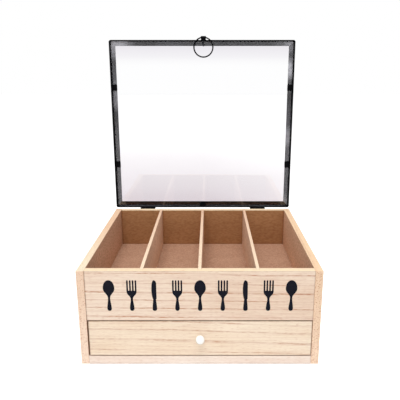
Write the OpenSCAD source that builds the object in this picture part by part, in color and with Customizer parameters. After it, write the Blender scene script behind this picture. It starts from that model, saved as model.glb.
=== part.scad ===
// Cutlery caddy: a wooden case with four open compartments over a drawer,
// and a hinged glass lid in a black metal frame that stands open behind it.
// Millimetres. X runs to the right, Y to the back and Z up. The origin is the
// middle of the case's underside. The lid is drawn open.

/* [Case] */
// Outside width of the case
case_w = 280; // [220:1:340]
// Outside depth of the case
case_d = 260; // [200:1:320]
// Height of the case, from its underside to its rim
case_h = 118; // [106:1:150]
// Thickness of the two side boards
side_t = 9; // [7:0.5:12]
// Thickness of the front fascia
fascia_t = 9.5; // [7:0.5:12]
// Height of the front fascia, from the drawer's opening to the rim
fascia_h = 61; // [50:1:64]
// Thickness of the back panel
back_t = 9.5; // [7:0.5:12]
// Thickness of the base board
base_t = 10.5; // [8:0.5:13]

/* [Compartments] */
// Thickness of the tray floor
floor_t = 4; // [3:0.5:6]
// Thickness of each divider
divider_t = 3.8; // [3:0.2:7]
// Depth of the dadoes that hold the dividers' ends
dado_depth = 4; // [2:0.5:5]
// Play of a divider in its dado, on each face
dado_play = 0.1; // [0:0.05:0.3]

/* [Drawer] */
// Thickness of the drawer front
drawer_front_t = 9; // [7:0.5:12]
// Thickness of the drawer's sides and back
drawer_side_t = 6; // [5:0.5:9]
// How far the drawer's sides stop below the top of its front
drawer_side_drop = 6; // [3:0.5:12]
// Thickness of the drawer's bottom panel
drawer_bottom_t = 3; // [2.5:0.5:4]
// Height of the bottom panel above the lower edges of the sides
bottom_rise = 3; // [2:0.5:6]
// Depth of the groove that holds the bottom panel
groove_depth = 3; // [2:0.5:4]
// Play of the bottom panel in its groove
groove_play = 0.1; // [0.05:0.05:0.3]
// Gap above and below the drawer front
drawer_gap = 1.2; // [0.5:0.1:1.5]
// Mean of the gaps at the drawer's two ends
drawer_end_gap = 1.1; // [0.5:0.1:1.5]
// How far the drawer stands to the right of the middle
drawer_shift = 0.4; // [-0.4:0.1:0.4]
// Gap between the base board and the sides that slide on it
drawer_slide_gap = 0.3; // [0.2:0.05:0.6]
// Gap between the closed drawer and the back panel that stops it
drawer_stop_gap = 0.3; // [0.2:0.05:0.8]

/* [Knob] */
// Diameter of the knob's ball, which is cut flat against the drawer front
knob_d = 10.5; // [9:0.5:16]
// Distance of the ball's centre from the drawer front
knob_reach = 3.4; // [3:0.2:4.4]
// Diameter of the screw that holds the knob
knob_screw_d = 2.4; // [2:0.1:3.2]
// Depth of the screw in the knob
knob_screw_depth = 6; // [4:0.5:7]
// Diameter of the screw's head
knob_head_d = 5.6; // [5:0.1:8]
// Height of the screw's head
knob_head_h = 1.6; // [1.2:0.1:2.5]

/* [Nails] */
// Diameter of a panel pin
pin_nail_d = 1.4; // [1:0.1:2]
// Length of a panel pin in the case
pin_nail_l = 25; // [18:1:30]
// Length of a panel pin in the drawer
drawer_nail_l = 18; // [14:1:22]
// Diameter of a panel pin's head
nail_head_d = 2.2; // [1.8:0.1:3]
// Height of a panel pin's head
nail_head_h = 0.8; // [0.5:0.1:1.2]

/* [Lid] */
// Angle at which the open lid rests on its hinges' stops
lid_angle = 90; // [80:1:100]
// Gap between the closed lid and the rim
rim_gap = 0.3; // [0.2:0.05:1]
// Thickness of the frame's skirt
skirt_t = 1.8; // [1.2:0.1:2.4]
// Height of the frame's skirt
skirt_h = 8; // [7:0.5:12]
// Thickness of the frame's flange
flange_t = 1.2; // [0.8:0.1:2]
// Width of the flange, from the frame's outer face
flange_w = 8.5; // [7:0.5:14]
// Radius of the frame's outer corners
corner_r = 3; // [2.5:0.5:6]
// Thickness of the glass
glass_t = 2; // [2:0.5:3]
// Gap between the glass's edge and the skirt
glass_edge_gap = 0.5; // [0.3:0.1:1]
// Gap between the glass and the flange, and between the glass and the clips
glass_bed = 0.15; // [0.05:0.05:0.3]

/* [Glass clips] */
// Width of a clip
clip_w = 9.5; // [6:0.5:14]
// Width of the small clip behind the ring
front_clip_w = 3; // [2.5:0.5:8]
// How far a clip's tongue reaches in from the frame's outer face
clip_reach = 9.2; // [7:0.2:14]
// Thickness of a clip
clip_t = 0.8; // [0.5:0.1:1.2]
// Length of a clip's leg on the skirt, below the glass
clip_leg = 3.4; // [2:0.1:4]
// Radius of a clip's corners
clip_r = 1.2; // [0.6:0.1:1.2]
// Distance of the side clips from the lid's front and rear faces
clip_inset = 70; // [40:1:90]

/* [Hinges] */
// Distance of a hinge's middle from the case's side
hinge_inset = 51; // [30:1:80]
// Width of a hinge
hinge_w = 24; // [18:1:36]
// Thickness of a hinge leaf
leaf_t = 0.8; // [0.6:0.1:1]
// Height of the leaf on the back panel
case_leaf_h = 12; // [10:0.5:18]
// How far the leaf on the skirt stops short of the flange's top
lid_leaf_drop = 1; // [0.5:0.1:3]
// Radius of a hinge knuckle
knuckle_r = 1.4; // [1.2:0.1:2]
// Gap between the knuckles, and between a knuckle and what it turns past
knuckle_gap = 0.25; // [0.2:0.05:0.4]
// Radius of a hinge pin
pin_r = 0.7; // [0.5:0.05:0.8]
// Running clearance between a hinge pin and its bore
pin_play = 0.05; // [0.02:0.01:0.08]
// Reach of the tab that stops the open lid, from the pin's axis
stop_reach = 4.5; // [3:0.1:6]
// Thickness of the tab that stops the open lid
stop_t = 0.7; // [0.4:0.1:0.7]
// Gap between the open lid's leaf and its stop
stop_gap = 0.05; // [0.02:0.01:0.1]
// Diameter of a hinge screw
screw_d = 2; // [1.6:0.1:2.4]
// Length of a hinge screw
screw_l = 8; // [6:0.5:9]
// Diameter of a hinge screw's head
screw_head_d = 3.6; // [3:0.1:4.4]
// Distance of the hinge screws below the pin
screw_drop = 7; // [5:0.5:8]
// Distance between a hinge's two screws
screw_span = 14; // [10:1:16]
// Clearance of nails and screws in their holes
fixing_play = 0.05; // [0.02:0.01:0.1]

/* [Ring pull] */
// Outside diameter of the ring
ring_d = 30.4; // [24:0.2:40]
// Diameter of the ring's wire
wire_d = 2; // [1.4:0.1:3]
// Width of the strip that carries the ring
strap_w = 7.5; // [5:0.5:10]
// Thickness of the strip
strap_t = 0.6; // [0.5:0.1:1]
// Height of the strip on the frame's skirt
strap_h = 7; // [5:0.5:7]
// Distance of the strip's eye in front of the frame
eye_reach = 3.4; // [3.2:0.1:5]
// Clearance of the wire in the eye
eye_play = 0.2; // [0.1:0.05:0.4]
// Clearance between the hanging ring and the open lid's skirt
ring_gap = 0.4; // [0.3:0.1:1]
// Distance of the ring from the middle of the lid, to the right
ring_offset = 2; // [-10:1:10]

/* [Hidden] */
$fn = 64;
LEFT = -1;
RIGHT = 1;
over = 1;

paulownia = "wheat";
fibreboard = "rosybrown";
black_metal = "dimgray";
steel = "silver";

// Case
inner_w = case_w - 2 * side_t;
front_y = -case_d / 2;
rear_y = case_d / 2;
bay_top = case_h - fascia_h;
floor_top = bay_top + floor_t;
divider_count = 3;
divider_pitch = (inner_w + divider_t) / (divider_count + 1);
divider_h = case_h - floor_top;
divider_l = case_d - fascia_t - back_t + 2 * dado_depth;
divider_mid_y = (fascia_t - back_t) / 2;

// Drawer
drawer_w = inner_w - 2 * drawer_end_gap;
drawer_end_y = rear_y - back_t - drawer_stop_gap;
drawer_front_z = base_t + drawer_gap;
drawer_front_h = bay_top - base_t - 2 * drawer_gap;
drawer_box_y = front_y + drawer_front_t;
drawer_box_z = base_t + drawer_slide_gap;
drawer_box_l = drawer_end_y - drawer_box_y;
drawer_side_h = drawer_front_z + drawer_front_h - drawer_side_drop - drawer_box_z;
drawer_inner_w = drawer_w - 2 * drawer_side_t;
bottom_z = drawer_box_z + bottom_rise;
bottom_tongue = groove_depth - groove_play;
knob_z = drawer_front_z + drawer_front_h / 2;

// Panel pins: places on a side board, as [y, z]
third_steps = [1 / 6, 1 / 2, 5 / 6];
quarter_steps = [1 / 4, 3 / 4];
base_l = case_d - back_t;
fascia_nails = [for (k = quarter_steps) [front_y + fascia_t / 2, bay_top + fascia_h * k]];
back_nails = [for (k = third_steps) [rear_y - back_t / 2, case_h * k]];
base_nails = [for (k = third_steps) [front_y + base_l * k, base_t / 2]];
drawer_nail_points =
    [for (k = quarter_steps) [drawer_end_y - drawer_side_t / 2, drawer_box_z + drawer_side_h * k]];

// Lid, in its closed place
skirt_z = case_h + rim_gap;
flange_top = skirt_z + skirt_h;
glass_top = flange_top - flange_t - glass_bed;
clip_top = glass_top - glass_t - glass_bed;
glass_inset = skirt_t + glass_edge_gap;
glass_r = max(corner_r - glass_inset, 0.2);

// Hinges
hinge_x = case_w / 2 - hinge_inset;
axis_y = rear_y + knuckle_gap + knuckle_r;
axis_z = case_h + rim_gap / 2;
knuckle_l = hinge_w / 3;
leaf_face_y = rear_y + leaf_t;
bore_r = pin_r + pin_play;
lid_leaf_top = flange_top - lid_leaf_drop;

// Ring pull, with the lid in its closed place
ring_r = (ring_d - wire_d) / 2;
ring_sag = ring_r - sqrt(ring_r * ring_r - strap_w * strap_w / 4);
eye_r = wire_d / 2 + ring_sag / 2 + eye_play;
eye_outer_r = eye_r + strap_t;
eye_y = front_y - eye_reach;
eye_z = skirt_z - wire_d / 2 - ring_gap;
strap_z = eye_z + eye_r;

// A box given by its low corner and its size
module board(low, size) {
    translate(low) cube(size);
}

// A flat plate centred on the Z axis, with rounded corners
module rounded_plate(w, d, h, r) {
    linear_extrude(h) {
        square([w - 2 * r, d], center = true);
        square([w, d - 2 * r], center = true);
        for (x = [-1, 1], y = [-1, 1])
            translate([x * (w / 2 - r), y * (d / 2 - r)]) circle(r);
    }
}

// Turns what is drawn in the lid's closed place to its open place
module opened() {
    translate([0, axis_y, axis_z]) rotate([-lid_angle, 0, 0]) translate([0, -axis_y, -axis_z])
        children();
}

// Panel pins

module nail(length) {
    cylinder(r = nail_head_d / 2, h = nail_head_h);
    cylinder(r = pin_nail_d / 2, h = length);
}

module nail_hole(length) {
    translate([0, 0, -over])
        cylinder(r = nail_head_d / 2 + fixing_play, h = nail_head_h + fixing_play + over);
    cylinder(r = pin_nail_d / 2 + fixing_play, h = length + fixing_play);
}

// Places its children on a side face at half-width x, pointing inwards
module at_nails(points, side, x) {
    for (p = points)
        translate([side * x, p[0], p[1]]) rotate([0, -side * 90, 0]) children();
}

module case_nail_holes(points, sides) {
    for (s = sides) at_nails(points, s, case_w / 2) nail_hole(pin_nail_l);
}

module drawer_nail_holes(sides) {
    for (s = sides) at_nails(drawer_nail_points, s, drawer_w / 2) nail_hole(drawer_nail_l);
}

// Case

module side_board(side) {
    color(paulownia) difference() {
        board([side * (case_w - side_t) / 2 - side_t / 2, front_y, 0], [side_t, case_d, case_h]);
        case_nail_holes(concat(fascia_nails, back_nails, base_nails), [side]);
    }
}

// The slots for the dividers' ends, cut into the board between y0 and y1
module dadoes(y0, y1) {
    for (i = [0 : divider_count - 1])
        board([divider_x(i) - divider_t / 2 - dado_play, y0, floor_top],
              [divider_t + 2 * dado_play, y1 - y0, divider_h + over]);
}

module front_fascia() {
    inner_y = front_y + fascia_t;
    color(paulownia) difference() {
        board([-inner_w / 2, front_y, bay_top], [inner_w, fascia_t, fascia_h]);
        dadoes(inner_y - dado_depth, inner_y + over);
        case_nail_holes(fascia_nails, [LEFT, RIGHT]);
    }
}

module back_panel() {
    inner_y = rear_y - back_t;
    color(paulownia) difference() {
        board([-inner_w / 2, inner_y, 0], [inner_w, back_t, case_h]);
        dadoes(inner_y - over, inner_y + dado_depth);
        case_nail_holes(back_nails, [LEFT, RIGHT]);
        for (s = [LEFT, RIGHT]) at_hinge_screws(s) screw_hole();
    }
}

module base_board() {
    color(paulownia) difference() {
        board([-inner_w / 2, front_y, 0], [inner_w, base_l, base_t]);
        case_nail_holes(base_nails, [LEFT, RIGHT]);
    }
}

module tray_floor() {
    color(fibreboard)
        board([-inner_w / 2, front_y + fascia_t, bay_top],
              [inner_w, case_d - fascia_t - back_t, floor_t]);
}

function divider_x(i) = (i - (divider_count - 1) / 2) * divider_pitch;

module divider(i) {
    color(fibreboard)
        board([divider_x(i) - divider_t / 2, divider_mid_y - divider_l / 2, floor_top],
              [divider_t, divider_l, divider_h]);
}

module case_nails() {
    color(steel) for (s = [LEFT, RIGHT])
        at_nails(concat(fascia_nails, back_nails, base_nails), s, case_w / 2) nail(pin_nail_l);
}

// Drawer

// Moves the drawer's pieces to where the drawer stands between the sides
module in_drawer() {
    translate([drawer_shift, 0, 0]) children();
}

// The groove that runs inside the drawer for its bottom panel
module bottom_groove() {
    board([-drawer_inner_w / 2 - groove_depth, drawer_box_y - groove_depth, bottom_z - groove_play],
          [drawer_inner_w + 2 * groove_depth,
           drawer_box_l - drawer_side_t + 2 * groove_depth,
           drawer_bottom_t + 2 * groove_play]);
}

module drawer_front() {
    color(paulownia) in_drawer() difference() {
        board([-drawer_w / 2, front_y, drawer_front_z],
              [drawer_w, drawer_front_t, drawer_front_h]);
        bottom_groove();
        translate([0, front_y - over, knob_z]) rotate([-90, 0, 0])
            cylinder(r = knob_screw_d / 2 + fixing_play, h = drawer_front_t + 2 * over);
    }
}

module drawer_side(side) {
    color(fibreboard) in_drawer() difference() {
        board([side * (drawer_w - drawer_side_t) / 2 - drawer_side_t / 2, drawer_box_y, drawer_box_z],
              [drawer_side_t, drawer_box_l, drawer_side_h]);
        bottom_groove();
        drawer_nail_holes([side]);
    }
}

module drawer_back() {
    color(fibreboard) in_drawer() difference() {
        board([-drawer_inner_w / 2, drawer_end_y - drawer_side_t, drawer_box_z],
              [drawer_inner_w, drawer_side_t, drawer_side_h]);
        bottom_groove();
        drawer_nail_holes([LEFT, RIGHT]);
    }
}

module drawer_bottom() {
    color(fibreboard) in_drawer()
        board([-drawer_inner_w / 2 - bottom_tongue, drawer_box_y - bottom_tongue, bottom_z],
              [drawer_inner_w + 2 * bottom_tongue,
               drawer_box_l - drawer_side_t + 2 * bottom_tongue,
               drawer_bottom_t]);
}

module drawer_nails() {
    color(steel) in_drawer() for (s = [LEFT, RIGHT])
        at_nails(drawer_nail_points, s, drawer_w / 2) nail(drawer_nail_l);
}

// Draws its children on the knob's axis, pointing out of the drawer front
module at_knob() {
    translate([0, front_y, knob_z]) rotate([90, 0, 0]) children();
}

module drawer_knob() {
    color("white") in_drawer() at_knob() difference() {
        translate([0, 0, knob_reach]) sphere(r = knob_d / 2);
        translate([-knob_d, -knob_d, -knob_d]) cube([2 * knob_d, 2 * knob_d, knob_d]);
        translate([0, 0, -over])
            cylinder(r = knob_screw_d / 2 + fixing_play, h = knob_screw_depth + fixing_play + over);
    }
}

module knob_screw() {
    color(steel) in_drawer() at_knob() translate([0, 0, -drawer_front_t]) {
        translate([0, 0, -knob_head_h]) cylinder(r = knob_head_d / 2, h = knob_head_h);
        cylinder(r = knob_screw_d / 2, h = drawer_front_t + knob_screw_depth);
    }
}

// Lid frame, drawn in its closed place

module lid_frame() {
    difference() {
        translate([0, 0, skirt_z]) rounded_plate(case_w, case_d, skirt_h, corner_r);
        translate([0, 0, skirt_z - over])
            rounded_plate(case_w - 2 * skirt_t, case_d - 2 * skirt_t,
                          skirt_h - flange_t + over, corner_r - skirt_t);
        board([-case_w / 2 + flange_w, front_y + flange_w, skirt_z],
              [case_w - 2 * flange_w, case_d - 2 * flange_w, skirt_h + over]);
    }
}

// One rail's share of the frame, cut off by mitres at both ends. The rail
// faces +Y; length is the frame's size along the rail and reach its size across.
module mitred_share(length, reach) {
    inset = flange_w + over;
    translate([0, 0, skirt_z - over]) linear_extrude(skirt_h + 2 * over)
        polygon([[-length / 2 - over, reach / 2 + over], [length / 2 + over, reach / 2 + over],
                 [length / 2 - inset, reach / 2 - inset], [-length / 2 + inset, reach / 2 - inset]]);
}

module side_rail(side) {
    color(black_metal) opened() intersection() {
        lid_frame();
        rotate([0, 0, -side * 90]) mitred_share(case_d, case_w);
    }
}

module end_rail(turn) {
    color(black_metal) opened() intersection() {
        lid_frame();
        rotate([0, 0, turn]) mitred_share(case_w, case_d);
    }
}

module lid_glass() {
    color("lightcyan", 0.35) opened() translate([0, 0, glass_top - glass_t])
        rounded_plate(case_w - 2 * glass_inset, case_d - 2 * glass_inset, glass_t, glass_r);
}

// A clip for the rail whose outer face is at y = 0, with the lid inwards at +Y
module clip(w) {
    color(black_metal) {
        translate([0, 0, clip_top - clip_t]) linear_extrude(clip_t) {
            translate([-w / 2, skirt_t]) square([w, clip_reach - skirt_t - clip_r]);
            translate([-w / 2 + clip_r, skirt_t]) square([w - 2 * clip_r, clip_reach - skirt_t]);
            for (x = [-1, 1]) translate([x * (w / 2 - clip_r), clip_reach - clip_r]) circle(clip_r);
        }
        board([-w / 2, skirt_t, clip_top - clip_leg], [w, clip_t, clip_leg]);
    }
}

module side_clip(side, y) {
    opened() translate([side * case_w / 2, y, 0]) rotate([0, 0, side * 90]) clip(clip_w);
}

module rear_clip() {
    opened() translate([0, rear_y, 0]) rotate([0, 0, 180]) clip(clip_w);
}

module front_clip() {
    opened() translate([ring_offset, front_y, 0]) clip(front_clip_w);
}

// Hinges

// A cylinder on the hinges' axis, centred on x
module on_axis(x, r, length) {
    translate([x - length / 2, axis_y, axis_z]) rotate([0, 90, 0]) cylinder(r = r, h = length);
}

// The middle knuckle and the two outer knuckles of a hinge, centred on x
module middle_knuckle(x, r, grow) {
    on_axis(x, r, knuckle_l + grow);
}

module outer_knuckles(x, r, grow) {
    for (s = [LEFT, RIGHT])
        on_axis(x + s * knuckle_l, r, knuckle_l + grow);
}

// The tab behind each outer knuckle, on which the lid's leaf rests when open
module stop_tabs(x) {
    tab_y = leaf_face_y + stop_gap;
    for (s = [LEFT, RIGHT])
        opened() board([x + s * knuckle_l - knuckle_l / 2 + max(s, 0) * knuckle_gap, tab_y,
                        axis_z + bore_r],
                       [knuckle_l - knuckle_gap, stop_t, stop_reach - bore_r]);
}

module case_leaf(side) {
    x = side * hinge_x;
    color(black_metal) difference() {
        union() {
            difference() {
                board([x - hinge_w / 2, rear_y, axis_z - case_leaf_h],
                      [hinge_w, leaf_t, case_leaf_h]);
                middle_knuckle(x, knuckle_r + knuckle_gap, knuckle_gap);
            }
            outer_knuckles(x, knuckle_r, -knuckle_gap);
            stop_tabs(x);
        }
        on_axis(x, bore_r, hinge_w + 2 * over);
        at_hinge_screws(side) screw_hole();
    }
}

module lid_leaf(side) {
    x = side * hinge_x;
    color(black_metal) opened() difference() {
        union() {
            difference() {
                board([x - hinge_w / 2, rear_y, axis_z],
                      [hinge_w, leaf_t, lid_leaf_top - axis_z]);
                outer_knuckles(x, knuckle_r + knuckle_gap, knuckle_gap);
            }
            middle_knuckle(x, knuckle_r, -knuckle_gap);
        }
        on_axis(x, bore_r, hinge_w);
    }
}

module hinge_pin(side) {
    color(steel) on_axis(side * hinge_x, pin_r, hinge_w);
}

// Places its children at a hinge's screws, pointing into the back panel
module at_hinge_screws(side) {
    for (s = [LEFT, RIGHT])
        translate([side * hinge_x + s * screw_span / 2, leaf_face_y, axis_z - screw_drop])
            rotate([90, 0, 0]) children();
}

module screw_shape(grow) {
    cylinder(r1 = screw_head_d / 2 + grow, r2 = screw_d / 2 + grow, h = leaf_t);
    cylinder(r = screw_d / 2 + grow, h = screw_l + grow);
}

module screw_hole() {
    screw_shape(fixing_play);
    translate([0, 0, -over]) cylinder(r = screw_head_d / 2 + fixing_play, h = over);
}

module hinge_screws() {
    color(steel) for (s = [LEFT, RIGHT]) at_hinge_screws(s) screw_shape(0);
}

// Ring pull

module ring_bracket() {
    color(black_metal) opened() translate([ring_offset - strap_w / 2, 0, 0])
        rotate([90, 0, 90]) linear_extrude(strap_w) difference() {
            union() {
                translate([eye_y, eye_z]) circle(eye_outer_r);
                translate([eye_y, strap_z]) square([eye_reach, strap_t]);
                translate([front_y - strap_t, strap_z]) square([strap_t, strap_h]);
            }
            translate([eye_y, eye_z]) circle(eye_r);
        }
}

// The eye's place with the lid open, and the ring that hangs from it
hang_y = axis_y + (eye_y - axis_y) * cos(lid_angle) + (eye_z - axis_z) * sin(lid_angle);
hang_z = axis_z - (eye_y - axis_y) * sin(lid_angle) + (eye_z - axis_z) * cos(lid_angle);

module pull_ring() {
    color(black_metal) translate([ring_offset, hang_y, hang_z - ring_r + ring_sag / 2])
        rotate([90, 0, 0]) rotate_extrude() translate([ring_r, 0]) circle(wire_d / 2);
}

side_board(LEFT);  // left_side
side_board(RIGHT);  // right_side
front_fascia();
back_panel();
base_board();
tray_floor();
divider(0);  // left_divider
divider(1);  // centre_divider
divider(2);  // right_divider
case_nails();
drawer_front();
drawer_side(LEFT);  // drawer_left_side
drawer_side(RIGHT);  // drawer_right_side
drawer_back();
drawer_bottom();
drawer_knob();
knob_screw();
drawer_nails();
side_rail(LEFT);  // lid_left_rail
side_rail(RIGHT);  // lid_right_rail
end_rail(180);  // lid_front_rail
end_rail(0);  // lid_rear_rail
lid_glass();
side_clip(LEFT, front_y + clip_inset);  // left_front_clip
side_clip(LEFT, rear_y - clip_inset);  // left_rear_clip
side_clip(RIGHT, front_y + clip_inset);  // right_front_clip
side_clip(RIGHT, rear_y - clip_inset);  // right_rear_clip
rear_clip();
front_clip();
case_leaf(LEFT);  // left_case_leaf
case_leaf(RIGHT);  // right_case_leaf
lid_leaf(LEFT);  // left_lid_leaf
lid_leaf(RIGHT);  // right_lid_leaf
hinge_pin(LEFT);  // left_hinge_pin
hinge_pin(RIGHT);  // right_hinge_pin
hinge_screws();
ring_bracket();
pull_ring();
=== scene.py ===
"""Looks of the cutlery caddy: a pale wooden case and drawer, a glass lid in black metal and a ring pull.

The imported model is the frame. Each sub-assembly below dresses its own nodes, and builds the pieces
whose shape is finer than the frame's. Lengths are in metres unless mm is named, and the lid stands
open, as the frame has it.
"""

import logging
import math
from abc import ABC, abstractmethod
from collections.abc import Sequence
from dataclasses import dataclass, replace
from enum import Enum
from functools import cache

import bmesh
import bpy
from bmesh.types import BMesh, BMVert
from bpy.types import Material, Node, NodeOutputs, NodeSocket, Object
from mathutils import Matrix, Vector
from mathutils.geometry import interpolate_bezier


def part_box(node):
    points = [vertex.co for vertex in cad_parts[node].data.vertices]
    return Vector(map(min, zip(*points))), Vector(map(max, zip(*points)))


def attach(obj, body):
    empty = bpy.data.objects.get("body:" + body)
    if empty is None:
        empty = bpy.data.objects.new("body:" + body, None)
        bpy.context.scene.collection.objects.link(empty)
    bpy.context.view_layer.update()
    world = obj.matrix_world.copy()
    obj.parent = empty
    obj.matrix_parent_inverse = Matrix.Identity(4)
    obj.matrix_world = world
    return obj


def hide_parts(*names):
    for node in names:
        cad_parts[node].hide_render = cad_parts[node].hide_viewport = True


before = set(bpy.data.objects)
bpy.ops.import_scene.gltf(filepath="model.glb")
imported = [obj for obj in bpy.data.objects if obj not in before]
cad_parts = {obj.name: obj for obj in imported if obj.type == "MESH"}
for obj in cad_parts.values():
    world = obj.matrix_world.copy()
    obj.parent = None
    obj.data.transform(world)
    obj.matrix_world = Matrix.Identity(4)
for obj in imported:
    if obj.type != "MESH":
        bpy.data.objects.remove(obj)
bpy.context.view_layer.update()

MM = 0.001
WELD_REACH = 0.001 * MM  # corners closer than this are one corner
HOLE_EDGE = 1.0 * MM  # edges shorter than this lie round holes, and stay sharp
SHARP_TURN = math.radians(40)  # faces that meet at less than this look like one
FACING = 0.99  # how closely a face's normal follows the way that the face looks
ON_AXIS = 1e-7  # a radius smaller than this is a point on the axis
CURVE_POINTS = 10
ARC_POINTS = 9

UP = Vector((0, 0, 1))
FORWARDS = Vector((0, -1, 0))
BACKWARDS = Vector((0, 1, 0))
LEFTWARDS = Vector((-1, 0, 0))
RIGHTWARDS = Vector((1, 0, 0))

log = logging.getLogger("caddy")

Colour = tuple[float, float, float, float]
Triple = tuple[float, float, float]
Point = tuple[float, float]
Leg = tuple[Point, Point, Point]
Fed = NodeSocket | float | Sequence[float]


def tone(*levels: int) -> Colour:
    """Turn a colour as seen on a screen into the linear one that shaders take.

    Args:
        *levels: its red, green and blue, from 0 to 255.

    Returns:
        The linear colour, with full alpha.
    """
    shares = [level / 255 for level in levels]
    linear = [share / 12.92 if share <= 0.04045 else ((share + 0.055) / 1.055) ** 2.4 for share in shares]
    return (*linear, 1.0)


RING_BROWN = tone(178, 114, 76)
# Painted shade: the brown that darkens joints, gaps and corners, where shade would fall.
PAINTED_SHADE_BROWN = tone(120, 78, 52)
# Painted sheen: the pale grey of bands that stand in for light mirrored by the lid's rails.
PAINTED_SHEEN_GREY = tone(190, 190, 197)


class Axis(Enum):
    """An axis: its own letter first, then those of the two axes across it."""

    X = ("X", "Z", "Y")
    Y = ("Y", "Z", "X")
    Z = ("Z", "X", "Y")


class Graph:
    """The shader nodes of one material or sky, added and linked by short calls."""

    def __init__(self, name: str, sky: bool = False) -> None:
        """Start an empty material or sky.

        Args:
            name: its name.
            sky: whether it is the sky.
        """
        self.output = "OutputWorld" if sky else "OutputMaterial"
        self.owner = bpy.data.worlds.new(name) if sky else bpy.data.materials.new(name)
        self.owner.use_nodes = True
        self.tree = self.owner.node_tree
        self.tree.nodes.clear()

    def feed(self, socket: NodeSocket, value: Fed) -> None:
        """Link a socket to another one, or set it to a constant.

        Args:
            socket: the input to feed.
            value: an output socket, a number, a vector or a colour.
        """
        if isinstance(value, NodeSocket):
            self.tree.links.new(value, socket)
        else:
            socket.default_value = value

    def add(self, kind: str, inputs: dict[str | int, Fed] | None = None, **settings: object) -> Node:
        """Add a node.

        Args:
            kind: the node's type, without "ShaderNode".
            inputs: what each named or numbered input gets.
            **settings: the node's own properties.

        Returns:
            The node.
        """
        added = self.tree.nodes.new(f"ShaderNode{kind}")
        for key, value in settings.items():
            setattr(added, key, value)
        for key, value in (inputs or {}).items():
            self.feed(added.inputs[key], value)
        return added

    def complete(self, surface: Node) -> Material | bpy.types.World:
        """Link the last shader to the output, and return the finished material or sky."""
        self.tree.links.new(surface.outputs[0], self.add(self.output).inputs["Surface"])
        return self.owner

    def math(self, operation: str, *values: Fed) -> NodeSocket:
        """Return the result of a Math node."""
        return self.add("Math", dict(enumerate(values)), operation=operation).outputs[0]

    def blend(self, share: Fed, low: Fed, high: Fed) -> NodeSocket:
        """Return two colours mixed, where the share from 0 to 1 is the second one's."""
        return self.add("Mix", {0: share, 6: low, 7: high}, data_type="RGBA").outputs[2]

    def ramp(self, value: Fed, stops: Sequence[tuple[float, float]]) -> NodeSocket:
        """Turn a number into another by a smooth ramp.

        Args:
            value: the number, from 0 to 1.
            stops: pairs of a place on the ramp and the number given there.

        Returns:
            The number at that place.
        """
        added = self.add("ValToRGB", {0: value})
        elements = added.color_ramp.elements
        for index, (place, level) in enumerate(stops):
            stop = elements[index] if index < len(elements) else elements.new(place)
            stop.position = place
            stop.color = (level, level, level, 1.0)
        return self.add("SeparateColor", {0: added.outputs[0]}).outputs[0]

    def noise(self, where: Fed, scale: float, detail: float) -> NodeSocket:
        """Return a smooth noise between 0 and 1, with so many octaves of finer detail."""
        return self.add("TexNoise", {"Vector": where, "Scale": scale, "Detail": detail}).outputs[0]

    def vector(self, x: Fed, y: Fed, z: Fed) -> NodeSocket:
        """Return a vector made of three numbers."""
        return self.add("CombineXYZ", {0: x, 1: y, 2: z}).outputs[0]

    def split(self, where: Fed) -> NodeOutputs:
        """Return a vector's three numbers, by number or by the letter of their axis."""
        return self.add("SeparateXYZ", {0: where}).outputs

    def stretch(self, where: Fed, factors: Triple) -> NodeSocket:
        """Return a vector whose three numbers are multiplied by a factor each."""
        return self.add("VectorMath", {0: where, 1: factors}, operation="MULTIPLY").outputs[0]

    def millimetres(self) -> NodeSocket:
        """Return the place on the object, in millimetres."""
        place = self.add("TexCoord").outputs["Object"]
        return self.add("VectorMath", {0: place, "Scale": 1 / MM}, operation="SCALE").outputs[0]

    def relief(self, height: Fed, strength: float, depth: float) -> NodeSocket:
        """Return the normals of a surface with fine relief, so many metres deep."""
        return self.add("Bump", {"Height": height, "Strength": strength, "Distance": depth}).outputs[0]

    def seen_directly(self) -> NodeSocket:
        """Tell what the camera sees, mirrored or through glass as well, from plain light.

        Returns:
            1 for what the camera sees, and 0 for plain light.
        """
        path = self.add("LightPath").outputs
        shown = self.math("MAXIMUM", path["Is Glossy Ray"], path["Is Transmission Ray"])
        return self.math("MAXIMUM", path["Is Camera Ray"], shown)


@dataclass(frozen=True)
class PaintedLightBand:
    """A soft line or band of painted light: painted shade where a board meets its neighbour, or a pale
    painted sheen on paint.

    Attributes:
        axis: the axis that the line lies across.
        place: where it lies on that axis, in mm.
        reach: how far from there it fades out, in mm.
        depth: how strongly it shows, from 0 to 1.
    """

    axis: Axis
    place: float
    reach: float
    depth: float

    def draw(self, graph: Graph, colour: Fed, line: Fed) -> NodeSocket:
        """Draw the line over a surface's colour.

        Args:
            graph: the material's nodes.
            colour: the surface's colour.
            line: the line's own colour.

        Returns:
            The colour with the line on it.
        """
        where = graph.millimetres()
        place = graph.split(where)[self.axis.name]
        gap = graph.math("ABSOLUTE", graph.math("SUBTRACT", place, self.place))
        fade = graph.ramp(graph.math("DIVIDE", gap, self.reach), [(0.3, self.depth), (1.0, 0.0)])
        patchy = graph.ramp(graph.noise(where, 0.12, 3.0), [(0.3, 0.5), (0.55, 1.0)])
        return graph.blend(graph.math("MULTIPLY", fade, patchy), colour, line)


def painted_edge_bands(name: str, reach: float, **depths: float) -> tuple[PaintedLightBand, ...]:
    """Paint soft bands of shade or sheen along some edges of a node.

    Args:
        name: the node's name.
        reach: how far from the edge each line fades out, in mm.
        **depths: how strong the painted band is at the left, right, top or bottom edge.

    Returns:
        The painted bands.
    """
    low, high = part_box(name)
    edges = {
        "left": (Axis.X, low.x), "right": (Axis.X, high.x),
        "top": (Axis.Z, high.z), "bottom": (Axis.Z, low.z),
    }
    return tuple(PaintedLightBand(edges[side][0], edges[side][1] / MM, reach, depth) for side, depth in depths.items())


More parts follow.
